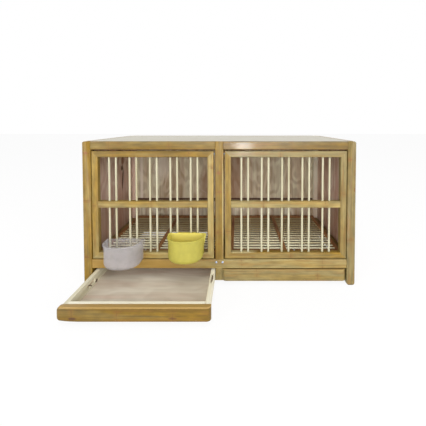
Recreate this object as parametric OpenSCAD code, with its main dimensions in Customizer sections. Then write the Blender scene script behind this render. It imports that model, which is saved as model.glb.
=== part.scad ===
// Two-compartment pigeon breeding cage: bamboo frame, top-hung rod doors, droppings drawers,
// lift-out stick floors, and two plastic cups held on the rods of the left door.
// Millimetres, +Z up, -Y is the front. The origin is under the middle of everything at rest.

/* [Cage] */
// Width over the posts
cage_w = 800; // [740:5:900]
// Depth over the posts
cage_d = 400; // [360:5:460]
// Height from the ground to the top
cage_h = 425; // [400:5:480]
// Side of the square posts and of the top rails
post_w = 25; // [23:0.5:28]
// Arris radius on the posts and rails
edge_r = 3; // [1:0.5:4]
// Radius of the top outer corners, seen from the front
corner_r = 7; // [3:0.5:8]
// Radius at the foot of each post
foot_r = 8; // [3:0.5:10]
// Plywood thickness of the walls, the top and the partition
panel_t = 8; // [6:0.5:10]
// How far a wall panel laps into its rabbet
panel_lap = 12; // [8:0.5:13]
// Height of the lower rails
low_rail_h = 27; // [24:1:32]
// Height of the joint between the two back boards
back_joint_z = 149; // [120:1:220]
// Visible height of that joint
back_joint_h = 6; // [3:0.5:7]
// How far the two boards lap over each other there
back_lap = 3.5; // [2:0.5:6]
// Depth of the grooves that hold the partition
groove_d = 5; // [3:0.5:6]

/* [Doors] */
// Width and thickness of the door frame bars
door_bar = 18; // [16:0.5:18.5]
// Arris radius on the door bars
door_edge_r = 2; // [1:0.5:3]
// Gap between a door and its corner post
door_side_gap = 2; // [1.5:0.5:4]
// Gap between a door and the middle post
door_center_gap = 4; // [2:0.5:6]
// Gap over a door, in which its top corner turns
door_top_gap = 3.5; // [3:0.5:6]
// Gap under a door
door_low_gap = 2.5; // [2:0.5:5]
// Height of the middle bar
mid_bar_h = 19; // [16:0.5:24]
// Centre of the middle bar above the door's lower edge
mid_bar_rise = 160.5; // [130:0.5:190]
// Diameter of the rods
rod_d = 6; // [4:0.5:8]
// Distance between the two rods of a pair
rod_pair = 20; // [16:0.5:24]
// Distance from one pair to the next
pair_pitch = 60; // [50:1:70]
// Depth of the rods' sockets in the top and bottom bars
rod_socket = 8; // [5:0.5:10]
// Diameter of the steel hinge pins
pin_d = 3; // [2.5:0.5:4]
// Hinge pin below the door's top edge
pin_drop = 9; // [8:0.5:10]
// Length of hinge pin inside a door
pin_in_door = 20; // [14:1:26]
// Diameter of the ball stops behind the doors
stop_ball = 8; // [6:0.5:8]
// Centre of a ball stop below the top of the door's bottom bar
stop_drop = 4; // [2:0.5:8]

/* [Drawers] */
// How far the left drawer stands open
pull = 175; // [100:5:240]
// Underside of the drawer fronts above the ground
drawer_z = 11.5; // [9:0.5:18]
// Height of the drawer fronts
drawer_h = 34.5; // [29:0.5:38]
// Thickness of the drawer fronts
drawer_front_t = 14; // [12:0.5:24]
// Gap between a drawer front and the rail over it
drawer_gap = 3.5; // [3:0.5:6]
// Arris radius round the face of the drawer fronts
drawer_edge_r = 4; // [2:0.5:6]
// Radius of the drawer fronts' corners, seen from the front
drawer_corner_r = 12; // [6:0.5:13]
// Half the space between the two drawer fronts
drawer_center_gap = 9; // [8:0.5:12]
// Space between a closed tray and the back board
tray_back_gap = 6; // [3:0.5:40]
// How far a drawer front stands past its tray on the cage's outer side
tray_inset_out = 8.5; // [6:0.5:12]
// How far a drawer front stands past its tray beside the middle post
tray_inset_in = 4.5; // [3:0.5:8]
// Thickness of a tray's side and back walls
tray_wall = 11; // [9:0.5:13]
// Thickness of the strip behind the drawer front
lip_t = 11.5; // [9:0.5:13]
// Plywood base of the tray
base_t = 4; // [3:0.5:5]
// Length of the finger slot through a tray's outer wall, and of the slit in its inner wall
slot_l = 48; // [30:1:60]
// Height of the finger slot
slot_h = 10; // [6:0.5:12]
// Slot centre behind the drawer's face
slot_y = 128; // [80:1:150]
// Width of the slit in the top of a tray's inner wall
slit_w = 3; // [2:0.5:4]
// Depth of that slit
slit_d = 8; // [4:0.5:12]
// Space beside a tray on its runners
guide_gap = 1.5; // [1:0.25:3]

/* [Floor] */
// Diameter of the floor sticks
stick_d = 6; // [5:0.5:7]
// Distance from one stick to the next
stick_pitch = 20; // [16:0.5:24]
// Space beside a floor, to lift it out by
floor_side_gap = 9.5; // [6.5:0.5:14]
// Space before and behind a floor
floor_end_gap = 5; // [3:0.5:8]
// How far the left floor lies off its compartment's middle
left_floor_shift = -1.5; // [-6:0.5:6]
// How far the right floor lies off its compartment's middle
right_floor_shift = 6; // [-6:0.5:6]
// Width of a floor's cross bars, and of the bars that its sticks pass through
bar_w = 12; // [10:0.5:16]
// Height of those bars
bar_h = 16.5; // [14:0.5:20]
// Wood left over a stick in those bars
stick_cover = 2.3; // [1.5:0.1:4]
// Length of the sticks past the bar beside the partition
stick_end_in = 10; // [3:1:40]
// Length of the sticks past the bar beside the cage's side wall
stick_end_out = 1; // [1:1:40]
// Width and height of the ledges under a floor
ledge = 12; // [9:0.5:14]
// Top of the ledges above the ground
ledge_z = 72; // [68:0.5:76]

/* [Cups] */
// Body width of the feed cup
feed_cup_w = 99; // [92:1:104]
// Body width of the water cup
water_cup_w = 103.5; // [96:0.5:108]
// Height of a cup
cup_h = 66.5; // [54:0.5:68]
// Straight length of a cup between its back plate and its round front
cup_straight = 19; // [8:1:24]
// Radius of a cup's two round front corners, seen from above
cup_front_r = 44; // [36:1:46]
// Radius at the bottom edge of a cup
cup_round = 13; // [8:1:18]
// Wall of a cup
cup_wall = 2.2; // [1.6:0.1:3]
// Rim of the feed cup above the ground
feed_cup_top = 156; // [149:0.5:180]
// Rim of the water cup above the ground
water_cup_top = 139; // [138:0.5:180]
// Space between a cup's neck and the rod beside it
neck_gap = 2.5; // [1:0.25:4]

/* [Clearances] */
// Between a panel's edge and its rabbet
panel_fit = 0.3; // [0.2:0.1:0.5]
// Radial, round the rods, sticks and screws in their own frames
rod_fit = 0.05; // [0.02:0.01:0.1]
// Between the end of a rod and its socket
rod_end_gap = 0.2; // [0.1:0.05:0.5]
// Round a tray's base in the grooves of its walls
base_fit = 0.1; // [0.05:0.05:0.3]
// Radial, round the hinge pins
pin_fit = 0.08; // [0.05:0.01:0.1]
// Between a floor's cross bars and the bars between them
bar_fit = 0.1; // [0.05:0.05:0.3]
// Between a loose or sliding piece and its seat
rest_gap = 0.3; // [0.3:0.05:0.5]
// Round a door at its stops and round a cup's lug
side_play = 0.4; // [0.3:0.05:0.6]

/* [Hidden] */
$fn = 64;
eps = 0.01;

// Main planes
front_y = -(cage_d - pull) / 2; // centres the cage with its open drawer on the origin
half_w = cage_w / 2;
in_x = half_w - post_w; // inner faces of the corner posts
in_y = cage_d - post_w;
mid_half = post_w / 2; // half of the middle post
rail_under = drawer_z + drawer_h + drawer_gap;
rail_top = rail_under + low_rail_h;
top_under = cage_h - post_w;
low_rail_t = post_w - panel_t; // the lower rails behind a wall panel

// Doors, drawn for the left side
door_x0 = -in_x + door_side_gap;
door_x1 = -mid_half - door_center_gap;
door_z0 = rail_top + door_low_gap;
door_z1 = top_under - door_top_gap;
door_cx = (door_x0 + door_x1) / 2;
open_w = door_x1 - door_x0 - 2 * door_bar;
rod_margin = 24; // least space between the outer rod and the frame
pairs = floor((open_w - rod_pair - 2 * rod_margin) / pair_pitch) + 1;
pair_x = [for (i = [0:pairs - 1]) door_cx + (i - (pairs - 1) / 2) * pair_pitch];
rod_x = [for (x = pair_x, s = [-1, 1]) x + s * rod_pair / 2];
pin_y = door_bar / 2;
pin_z = door_z1 - pin_drop;
pin_head_d = pin_d + 4;
pin_head_t = 1.4;

// Door stops
stop_stem = 3.2;
stop_sink = 10;
stop_x = door_cx - pair_pitch / 2;
stop_y = door_bar + side_play + stop_ball / 2;
stop_z = door_z0 + door_bar - stop_drop;

// Drawers, drawn for the left side
drawer_side_gap = 1.5; // between a drawer front and its corner post
drawer_back_r = 2; // arris radius round the back of a drawer front
tray_step = 0.5; // the tray's walls stop short of the front's edges
front_x0 = -in_x + drawer_side_gap;
front_x1 = -drawer_center_gap;
tray_x0 = front_x0 + tray_inset_out;
tray_x1 = front_x1 - tray_inset_in;
tray_l = cage_d - panel_t - tray_back_gap - drawer_front_t;
tray_z0 = drawer_z + tray_step;
tray_z1 = drawer_z + drawer_h - tray_step;
base_rise = 2; // wood under the base's groove
base_z = tray_z0 + base_rise;
base_in = 4; // how far the base sits in the walls' grooves
tray_r = 1.5; // arris radius on the tray's walls and the floor bars
slot_rise = 1; // slot centre above the walls' middle
runner_top = tray_z0 - rest_gap;
runner_t = 6;
runner_gap = 2; // between a runner and a closed drawer's front
runner_end_gap = 1; // between a runner and the back board
runner_y0 = drawer_front_t + runner_gap;
runner_y1 = cage_d - panel_t - runner_end_gap;
runner_w = 24;
guide_t = tray_x0 + in_x - guide_gap;
guide_h = 14;
web_half = -tray_x1 - guide_gap;

// Floors
floor_w = in_x - panel_t / 2 - 2 * floor_side_gap;
floor_l = in_y - post_w - 2 * floor_end_gap;
floor_y0 = post_w + floor_end_gap;
floor_x = (in_x + panel_t / 2) / 2;
bar_place_in = stick_end_in + bar_w / 2 - floor_w / 2; // toward the partition
bar_place_out = floor_w / 2 - stick_end_out - bar_w / 2;
bar_places = [bar_place_in, (bar_place_in + bar_place_out) / 2, bar_place_out];
bar_z = ledge_z + rest_gap;
stick_z = bar_z + bar_h - stick_cover - stick_d / 2;
stick_margin = 10; // least space between the end stick's middle and the cross bars
stick_count = floor((floor_l - 2 * bar_w - 2 * stick_margin) / stick_pitch) + 1;
stick_y0 = floor_y0 + (floor_l - (stick_count - 1) * stick_pitch) / 2;

// Screws at the foot of the middle post
screw_d = 4;
screw_short = 3; // a screw's point stops this far inside the ledge
screw_l = post_w + ledge - screw_short;
screw_head_d = 7.5;
screw_head_t = 2.4;
screw_slot = 1;
screw_slot_l = 4.4;
screw_in = 3.2; // from the middle post's side
screw_drop = 3.8; // from the ledge's top
screw_x = mid_half - screw_in;
screw_z = ledge_z - screw_drop;

// Cups
cup_rim = 3; // how far the rim stands out
cup_rim_h = 4;
cup_band = 0.8; // how far the band under the rim stands out
cup_band_h = 10;
plate_t = 2.4;
ear_out = 4; // how far the plate's ears stand past the rim
ear_h = 36;
ear_cut = 4;
lug_half = 34;
lug_h = 14;
lug_drop = 4;
lug_bar = 3;
neck_half = 4.5;
cup_shift = (pair_pitch - rod_pair - rod_d) / 2 - neck_half - neck_gap;
water_cup_x = pair_x[0] + pair_pitch / 2 + cup_shift; // in the first gap between two pairs
feed_cup_x = pair_x[pairs - 1] - pair_pitch / 2 + cup_shift; // in the last gap
plate_y = -0.5; // back face of a cup's plate, clear of the door frame

// Colours
bamboo = [0.72, 0.56, 0.31];
pale_wood = [0.86, 0.82, 0.66];
plywood = [0.60, 0.50, 0.43];
brown = [0.40, 0.25, 0.15];
steel = [0.62, 0.65, 0.70];

// Puts a piece drawn with the cage's front at y = 0 in its place
module place() { translate([0, front_y, 0]) children(); }
module flip() { mirror([1, 0, 0]) children(); }

// Takes one corner off a flat outline; dx and dy point into the outline
module round_off(x, y, r, dx, dy) {
  difference() {
    translate([x - (dx > 0 ? eps : r), y - (dy > 0 ? eps : r)]) square(r + eps);
    translate([x + dx * r, y + dy * r]) circle(r);
  }
}

module rounded(a, b, r) {
  difference() {
    square([a, b]);
    for (i = [0, 1], j = [0, 1]) round_off(i * a, j * b, r, 1 - 2 * i, 1 - 2 * j);
  }
}

// A block from one corner to the other
module block(p, q) { translate(p) cube(q - p); }

// Round-edged bars along X, Y and Z
module bar_x(x0, x1, y, z, sy, sz, r) {
  translate([x0, y, z]) rotate([90, 0, 90]) linear_extrude(x1 - x0) rounded(sy, sz, r);
}
module bar_y(y0, y1, x, z, sx, sz, r) {
  translate([x, y1, z]) rotate([90, 0, 0]) linear_extrude(y1 - y0) rounded(sx, sz, r);
}
module bar_z(z0, z1, x, y, sx, sy, r) {
  translate([x, y, z0]) linear_extrude(z1 - z0) rounded(sx, sy, r);
}
module along_x(x0, x1, y, z, r) { translate([x0, y, z]) rotate([0, 90, 0]) cylinder(h = x1 - x0, r = r); }
module along_y(y0, y1, x, z, r) { translate([x, y0, z]) rotate([-90, 0, 0]) cylinder(h = y1 - y0, r = r); }
module along_z(z0, z1, x, y, r) { translate([x, y, z0]) cylinder(h = z1 - z0, r = r); }

// The panels' own blocks. A rabbet is the same block grown by the fit.
module side_panel_block(g = 0) {
  block([-half_w - (g > 0 ? eps : 0), post_w - panel_lap - g, drawer_z - g],
        [-half_w + panel_t, in_y + panel_lap + g, top_under + panel_lap + g]);
}
module back_panel_block(g = 0) {
  block([-in_x - panel_lap - g, cage_d - panel_t, drawer_z - g],
        [in_x + panel_lap + g, cage_d + (g > 0 ? eps : 0), top_under + panel_lap + g]);
}
module top_panel_block(g = 0) {
  block([-in_x - panel_lap - g, post_w - panel_lap - g, cage_h - panel_t],
        [in_x + panel_lap + g, in_y + panel_lap + g, cage_h + (g > 0 ? eps : 0)]);
}
module rabbets() {
  side_panel_block(panel_fit);
  flip() side_panel_block(panel_fit);
  back_panel_block(panel_fit);
  top_panel_block(panel_fit);
}

// Posts
module post_outline() {
  difference() {
    square([post_w, cage_h]);
    round_off(0, 0, foot_r, 1, 1);
    round_off(post_w, 0, foot_r, -1, 1);
    round_off(0, cage_h, corner_r, 1, -1);
  }
}
module corner_post(y) {
  difference() {
    intersection() {
      bar_z(0, cage_h, -half_w, y, post_w, post_w, edge_r);
      translate([-half_w, y + post_w + 1, 0]) rotate([90, 0, 0]) linear_extrude(post_w + 2) post_outline();
    }
    rabbets();
    along_x(-half_w - 1, -in_x + 1, pin_y, pin_z, pin_d / 2 + pin_fit);
    along_x(-half_w - 1, -half_w + pin_head_t, pin_y, pin_z, pin_head_d / 2 + pin_fit);
  }
}
module partition_block(g = 0) {
  top = cage_h - panel_t;
  translate([panel_t / 2 + g, 0, 0]) rotate([90, 0, -90]) linear_extrude(panel_t + 2 * g) polygon([
    [-post_w + groove_d + g, rail_top], [-post_w, rail_top], [-post_w, rail_under], [-in_y, rail_under],
    [-in_y, rail_top], [-in_y - groove_d - g, rail_top], [-in_y - groove_d - g, top_under],
    [-in_y, top_under], [-in_y, top], [-post_w + groove_d + g, top]]);
}
module front_center() {
  difference() {
    bar_z(rail_top, cage_h, -mid_half, 0, post_w, post_w, edge_r);
    top_panel_block(panel_fit);
    partition_block(panel_fit);
    along_x(-mid_half - 1, mid_half + 1, pin_y, pin_z, pin_d / 2 + pin_fit);
  }
}
module back_center() {
  difference() {
    bar_z(rail_top, top_under, -mid_half, in_y, post_w, low_rail_t, edge_r);
    partition_block(panel_fit);
  }
}

// Top rails
module top_front_half() {
  difference() {
    bar_x(-in_x, -mid_half, 0, top_under, post_w, post_w, edge_r);
    top_panel_block(panel_fit);
  }
}
module top_back() {
  difference() {
    bar_x(-in_x, in_x, in_y, top_under, post_w, post_w, edge_r);
    rabbets();
  }
}
module top_side() {
  difference() {
    bar_y(post_w, in_y, -half_w, top_under, post_w, post_w, edge_r);
    rabbets();
  }
}

// Lower rails
module screw_places() { for (s = [-1, 1]) translate([s * screw_x, 0, screw_z]) children(); }
module lower_front() {
  difference() {
    bar_x(-in_x, in_x, 0, rail_under, post_w, low_rail_h, edge_r);
    screw_places() along_y(-1, post_w + 1, 0, 0, screw_d / 2 + rod_fit);
    for (s = [-1, 1])
      along_z(rail_top - stop_sink, rail_top + 1, s * stop_x, stop_y, stop_stem / 2 + rod_fit);
  }
}
module lower_side() {
  bar_y(post_w, in_y, -half_w + panel_t, rail_under, low_rail_t, low_rail_h, edge_r);
}

// Panels
module back_board(z0, z1, lap0, lap1) {
  half_t = panel_t / 2;
  x = in_x + panel_lap;
  block([-x, cage_d - panel_t, z0], [x, cage_d - half_t, z1]);
  block([-x, cage_d - half_t, z0 + lap0], [x, cage_d, z1 + lap1]);
}

// Drawer runners
module side_runner() {
  block([-in_x, runner_y0, runner_top - runner_t], [-in_x + runner_w, runner_y1, runner_top]);
  block([-in_x, runner_y0, runner_top], [-in_x + guide_t, runner_y1, runner_top + guide_h]);
}
module middle_runner() {
  block([-runner_w, runner_y0, runner_top - runner_t], [runner_w, runner_y1, runner_top]);
  block([-web_half, runner_y0, runner_top - runner_t], [web_half, runner_y1, rail_under]);
}

// Ledges under the floors, one on each side of the partition
module ledge_pair(y0, y1, screws) {
  for (s = [-1, 1]) difference() {
    block([s > 0 ? panel_t / 2 : -in_x, y0, ledge_z - ledge], [s > 0 ? in_x : -panel_t / 2, y1, ledge_z]);
    if (screws) screw_places() along_y(post_w - 1, screw_l + 1, 0, 0, screw_d / 2 + rod_fit);
  }
}

module screw() {
  dome = (pow(screw_head_d / 2, 2) + pow(screw_head_t, 2)) / (2 * screw_head_t);
  difference() {
    intersection() {
      translate([0, dome - screw_head_t, 0]) sphere(dome);
      along_y(-screw_head_t, 0, 0, 0, screw_head_d / 2);
    }
    for (a = [0, 90]) rotate([0, a, 0])
      block([-screw_slot_l / 2, -screw_head_t - 1, -screw_slot / 2],
            [screw_slot_l / 2, -screw_head_t + 1, screw_slot / 2]);
  }
  along_y(0, screw_l, 0, 0, screw_d / 2);
}

module stop() {
  along_z(rail_top - stop_sink, stop_z, 0, 0, stop_stem / 2);
  translate([0, 0, stop_z]) sphere(stop_ball / 2);
}

// Door frame: each bar is cut to its mitres
module mitre(points) {
  translate([0, door_bar + 1, 0]) rotate([90, 0, 0]) linear_extrude(door_bar + 2) polygon(points);
}
module pin_holes() {
  along_x(door_x0 - 1, door_x0 + pin_in_door + 1, pin_y, pin_z, pin_d / 2 + pin_fit);
  along_x(door_x1 - pin_in_door - 1, door_x1 + 1, pin_y, pin_z, pin_d / 2 + pin_fit);
}
module rods(z0, z1, r) { for (x = rod_x) along_z(z0, z1, x, door_bar / 2, r); }
module stile(x0, inward) {
  x_out = inward > 0 ? x0 : x0 + door_bar;
  x_in = x_out + inward * door_bar;
  difference() {
    intersection() {
      bar_z(door_z0, door_z1, x0, 0, door_bar, door_bar, door_edge_r);
      mitre([[x_out, door_z0], [x_in, door_z0 + door_bar], [x_in, door_z1 - door_bar], [x_out, door_z1]]);
    }
    pin_holes();
  }
}
module level_bar(z0, up) {
  z_out = up > 0 ? z0 : z0 + door_bar;
  z_in = z_out + up * door_bar;
  difference() {
    intersection() {
      bar_x(door_x0, door_x1, 0, z0, door_bar, door_bar, door_edge_r);
      mitre([[door_x0, z_out], [door_x0 + door_bar, z_in], [door_x1 - door_bar, z_in], [door_x1, z_out]]);
    }
    rods(min(z_in, z_in - up * rod_socket), max(z_in, z_in - up * rod_socket), rod_d / 2 + rod_fit);
    pin_holes();
  }
}
module middle_bar() {
  z0 = door_z0 + mid_bar_rise - mid_bar_h / 2;
  difference() {
    bar_x(door_x0 + door_bar, door_x1 - door_bar, 0, z0, door_bar, mid_bar_h, door_edge_r);
    rods(z0 - 1, z0 + mid_bar_h + 1, rod_d / 2 + rod_fit);
  }
}
module rod_set() {
  sink = rod_socket - rod_end_gap;
  rods(door_z0 + door_bar - sink, door_z1 - door_bar + sink, rod_d / 2);
}

// Drawer pieces, drawn closed on the left side. A front's rim: r outward from the middle of its corner
// rounding, and as thick as the front, with its arrises taken off
module rim_section(r) {
  difference() {
    square([r, drawer_front_t]);
    round_off(r, 0, drawer_edge_r, -1, 1);
    round_off(r, drawer_front_t, drawer_back_r, -1, -1);
  }
}
module drawer_front() {
  r = drawer_corner_r;
  x = [front_x0 + r, front_x1 - r];
  z = [drawer_z + r, drawer_z + drawer_h - r];
  half_h = drawer_h / 2;
  corners = [[x[1], z[0]], [x[0], z[0]], [x[0], z[1]], [x[1], z[1]]];
  for (k = [0:3]) translate([corners[k][0], 0, corners[k][1]]) rotate([-90, 90 * k, 0])
    rotate_extrude(angle = 90) rim_section(r);
  for (m = [0, 1]) translate([x[0], 0, drawer_z + half_h]) mirror([0, 0, m])
    rotate([90, 0, 90]) linear_extrude(x[1] - x[0]) rotate(90) mirror([0, 1]) rim_section(half_h);
  for (m = [0, 1]) translate([x[m], 0, z[0]]) mirror([1 - m, 0, 0])
    linear_extrude(z[1] - z[0]) rim_section(r);
}
module tray_base_block(g = 0) {
  block([tray_x0 + tray_wall - base_in - g, drawer_front_t + lip_t - base_in - g, base_z - g],
        [tray_x1 - tray_wall + base_in + g, drawer_front_t + tray_l - tray_wall + base_in + g,
         base_z + base_t + g]);
}
module tray_wall_y(x) {
  difference() {
    bar_y(drawer_front_t, drawer_front_t + tray_l, x, tray_z0, tray_wall, tray_z1 - tray_z0, tray_r);
    tray_base_block(base_fit);
  }
}
// A round-ended outline along X, l long and w wide
module slot_outline(l, w) {
  square([l - w, w], center = true);
  for (s = [-1, 1]) translate([s * (l - w) / 2, 0]) circle(w / 2);
}
module outer_wall() {
  difference() {
    tray_wall_y(tray_x0);
    translate([tray_x0 - 1, slot_y, (tray_z0 + tray_z1) / 2 + slot_rise]) rotate([90, 0, 90])
      linear_extrude(tray_wall + 2) slot_outline(slot_l, slot_h);
  }
}
module inner_wall() {
  difference() {
    tray_wall_y(tray_x1 - tray_wall);
    translate([tray_x1 - tray_wall / 2, slot_y, tray_z1 - slit_d]) rotate(90)
      linear_extrude(slit_d + 1) slot_outline(slot_l, slit_w);
  }
}
module tray_cross(y, t) {
  difference() {
    bar_x(tray_x0 + tray_wall, tray_x1 - tray_wall, y, tray_z0, t, tray_z1 - tray_z0, tray_r);
    tray_base_block(base_fit);
  }
}

// Lift-out floors
module floor_sticks(r, x) {
  for (i = [0:stick_count - 1])
    along_x(x - floor_w / 2, x + floor_w / 2, stick_y0 + i * stick_pitch, stick_z, r);
}
// Two cross bars on the ledges and three bars between them; side is 1 for the right floor
module floor_bars(x, side) {
  end_in = bar_w + bar_fit;
  for (y = [floor_y0, floor_y0 + floor_l - bar_w])
    bar_x(x - floor_w / 2, x + floor_w / 2, y, bar_z, bar_w, bar_h, tray_r);
  for (b = bar_places) difference() {
    bar_y(floor_y0 + end_in, floor_y0 + floor_l - end_in, x + side * b - bar_w / 2, bar_z, bar_w, bar_h,
          tray_r);
    floor_sticks(stick_d / 2 + rod_fit, x);
  }
}

// Half of a cup's outline, its lower corner rounded, with g taken off its outside
module cup_half(r, g = 0) {
  translate([0, g]) square([r - cup_round, cup_h - g]);
  translate([0, cup_round]) square([r - g, cup_h - cup_round]);
  intersection() {
    translate([r - cup_round, cup_round]) circle(cup_round - g);
    square([r, cup_h]);
  }
}
// Half of a cup's section: the wall, the floor, the band and the round rim
module cup_section(r) {
  rim_x = r + cup_rim - cup_rim_h / 2;
  difference() {
    union() {
      cup_half(r);
      translate([r - 1, cup_h - cup_band_h]) square([1 + cup_band, cup_band_h - cup_rim_h / 2]);
      translate([r - 1, cup_h - cup_rim_h]) square([rim_x - r + 1, cup_rim_h]);
      translate([rim_x, cup_h - cup_rim_h / 2]) circle(cup_rim_h / 2);
    }
    cup_half(r, cup_wall);
    translate([0, cup_h - 1]) square([r - cup_wall, 2]);
  }
}
// Two round corners, the flat front between them, and the straight sides
module cup_shell(r) {
  flat = r - cup_front_r;
  for (m = [0, 1]) mirror([m, 0, 0]) translate([flat, 0, 0]) rotate([0, 0, -90])
    rotate_extrude(angle = 90) cup_section(cup_front_r);
  translate([flat, 0, 0]) rotate([90, 0, -90]) linear_extrude(2 * flat) cup_section(cup_front_r);
  translate([0, cup_straight, 0]) rotate([90, 0, 0]) linear_extrude(cup_straight) {
    cup_section(r);
    mirror([1, 0]) cup_section(r);
  }
}
module cup_plate(r) {
  ear = r + cup_rim + ear_out;
  translate([0, cup_straight + plate_t, 0]) rotate([90, 0, 0]) linear_extrude(plate_t) {
    for (m = [0, 1]) mirror([m, 0]) {
      cup_half(r);
      polygon([[0, cup_h - ear_h], [r, cup_h - ear_h], [ear, cup_h - ear_cut], [ear - ear_cut, cup_h],
               [0, cup_h]]);
    }
  }
}
// The lug goes between two rods: a pad in front of them, a neck and a bar behind them
module cup_lug(x, top) {
  z1 = top - lug_drop;
  z0 = z1 - lug_h;
  rod_front = (door_bar - rod_d) / 2 - side_play;
  rod_back = (door_bar + rod_d) / 2 + side_play;
  block([x - lug_half, plate_y - plate_t / 2, z0], [x + lug_half, rod_front, z1]);
  block([x - neck_half, rod_front - 1, z0], [x + neck_half, rod_back + 1, z1]);
  block([x - lug_half, rod_back, z0], [x + lug_half, rod_back + lug_bar, z1]);
}
module cup(w, x, top) {
  translate([x, plate_y - plate_t - cup_straight, top - cup_h]) {
    cup_shell(w / 2);
    cup_plate(w / 2);
  }
  cup_lug(x, top);
}

// Nodes
module front_left_post() color(bamboo) place() corner_post(0);
module front_right_post() color(bamboo) place() flip() corner_post(0);
module front_center_post() color(bamboo) place() front_center();
module back_left_post() color(bamboo) place() corner_post(in_y);
module back_right_post() color(bamboo) place() flip() corner_post(in_y);
module back_center_post() color(bamboo) place() back_center();
module top_front_left_rail() color(bamboo) place() top_front_half();
module top_front_right_rail() color(bamboo) place() flip() top_front_half();
module top_back_rail() color(bamboo) place() top_back();
module top_left_rail() color(bamboo) place() top_side();
module top_right_rail() color(bamboo) place() flip() top_side();
module lower_front_rail() color(bamboo) place() lower_front();
module lower_back_rail() color(bamboo) place()
  bar_x(-in_x, in_x, in_y, rail_under, low_rail_t, low_rail_h, edge_r);
module lower_left_rail() color(bamboo) place() lower_side();
module lower_right_rail() color(bamboo) place() flip() lower_side();
module top_panel() color(plywood) place() top_panel_block();
module left_panel() color(plywood) place() side_panel_block();
module right_panel() color(plywood) place() flip() side_panel_block();
module back_upper_board() color(plywood) place()
  back_board(back_joint_z + back_joint_h / 2, top_under + panel_lap, back_lap + panel_fit, 0);
module back_lower_board() color(plywood) place()
  back_board(drawer_z, back_joint_z - back_joint_h / 2, 0, back_joint_h + back_lap);
module partition() color(plywood) place() partition_block();
module left_runner() color(pale_wood) place() side_runner();
module right_runner() color(pale_wood) place() flip() side_runner();
module center_runner() color(pale_wood) place() middle_runner();
module front_ledges() color(bamboo) place() ledge_pair(post_w, post_w + ledge, true);
module back_ledges() color(bamboo) place() ledge_pair(in_y - ledge, in_y, false);
module rail_screws() color(steel) place() screw_places() screw();
module door_stops() color(steel) place() for (s = [-1, 1]) translate([s * stop_x, stop_y, 0]) stop();
module hinge_pins() color(steel) place() {
  for (m = [0, 1]) mirror([m, 0, 0]) {
    along_x(-half_w, door_x0 + pin_in_door, pin_y, pin_z, pin_d / 2);
    along_x(-half_w, -half_w + pin_head_t, pin_y, pin_z, pin_head_d / 2);
  }
  along_x(door_x1 - pin_in_door, -door_x1 + pin_in_door, pin_y, pin_z, pin_d / 2);
}

module left_door_outer_stile() color(bamboo) place() stile(door_x0, 1);
module left_door_inner_stile() color(bamboo) place() stile(door_x1 - door_bar, -1);
module left_door_top_bar() color(bamboo) place() level_bar(door_z1 - door_bar, -1);
module left_door_middle_bar() color(bamboo) place() middle_bar();
module left_door_bottom_bar() color(bamboo) place() level_bar(door_z0, 1);
module left_door_rods() color(pale_wood) place() rod_set();
module right_door_outer_stile() color(bamboo) place() flip() stile(door_x0, 1);
module right_door_inner_stile() color(bamboo) place() flip() stile(door_x1 - door_bar, -1);
module right_door_top_bar() color(bamboo) place() flip() level_bar(door_z1 - door_bar, -1);
module right_door_middle_bar() color(bamboo) place() flip() middle_bar();
module right_door_bottom_bar() color(bamboo) place() flip() level_bar(door_z0, 1);
module right_door_rods() color(pale_wood) place() flip() rod_set();

module left_drawer() place() translate([0, -pull, 0]) children();
module right_drawer() place() flip() children();
module left_drawer_front() color(bamboo) left_drawer() drawer_front();
module left_drawer_lip() color(pale_wood) left_drawer() tray_cross(drawer_front_t, lip_t);
module left_drawer_outer_wall() color(pale_wood) left_drawer() outer_wall();
module left_drawer_inner_wall() color(pale_wood) left_drawer() inner_wall();
module left_drawer_back_wall() color(pale_wood) left_drawer()
  tray_cross(drawer_front_t + tray_l - tray_wall, tray_wall);
module left_drawer_base() color(plywood) left_drawer() tray_base_block();
module right_drawer_front() color(bamboo) right_drawer() drawer_front();
module right_drawer_lip() color(pale_wood) right_drawer() tray_cross(drawer_front_t, lip_t);
module right_drawer_outer_wall() color(pale_wood) right_drawer() outer_wall();
module right_drawer_inner_wall() color(pale_wood) right_drawer() inner_wall();
module right_drawer_back_wall() color(pale_wood) right_drawer()
  tray_cross(drawer_front_t + tray_l - tray_wall, tray_wall);
module right_drawer_base() color(plywood) right_drawer() tray_base_block();

module left_floor_bars() color(brown) place() floor_bars(left_floor_shift - floor_x, -1);
module left_floor_sticks() color(pale_wood) place() floor_sticks(stick_d / 2, left_floor_shift - floor_x);
module right_floor_bars() color(brown) place() floor_bars(right_floor_shift + floor_x, 1);
module right_floor_sticks() color(pale_wood) place() floor_sticks(stick_d / 2, right_floor_shift + floor_x);

module water_cup() color([0.8, 0.8, 0.82, 0.5]) place() cup(water_cup_w, water_cup_x, water_cup_top);
module feed_cup() color([0.87, 0.82, 0.33]) place() cup(feed_cup_w, feed_cup_x, feed_cup_top);

front_left_post();
front_right_post();
front_center_post();
back_left_post();
back_right_post();
back_center_post();
top_front_left_rail();
top_front_right_rail();
top_back_rail();
top_left_rail();
top_right_rail();
lower_front_rail();
lower_back_rail();
lower_left_rail();
lower_right_rail();
top_panel();
left_panel();
right_panel();
back_upper_board();
back_lower_board();
partition();
left_runner();
right_runner();
center_runner();
front_ledges();
back_ledges();
rail_screws();
door_stops();
hinge_pins();
left_door_outer_stile();
left_door_inner_stile();
left_door_top_bar();
left_door_middle_bar();
left_door_bottom_bar();
left_door_rods();
right_door_outer_stile();
right_door_inner_stile();
right_door_top_bar();
right_door_middle_bar();
right_door_bottom_bar();
right_door_rods();
left_drawer_front();
left_drawer_lip();
left_drawer_outer_wall();
left_drawer_inner_wall();
left_drawer_back_wall();
left_drawer_base();
right_drawer_front();
right_drawer_lip();
right_drawer_outer_wall();
right_drawer_inner_wall();
right_drawer_back_wall();
right_drawer_base();
left_floor_bars();
left_floor_sticks();
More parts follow.
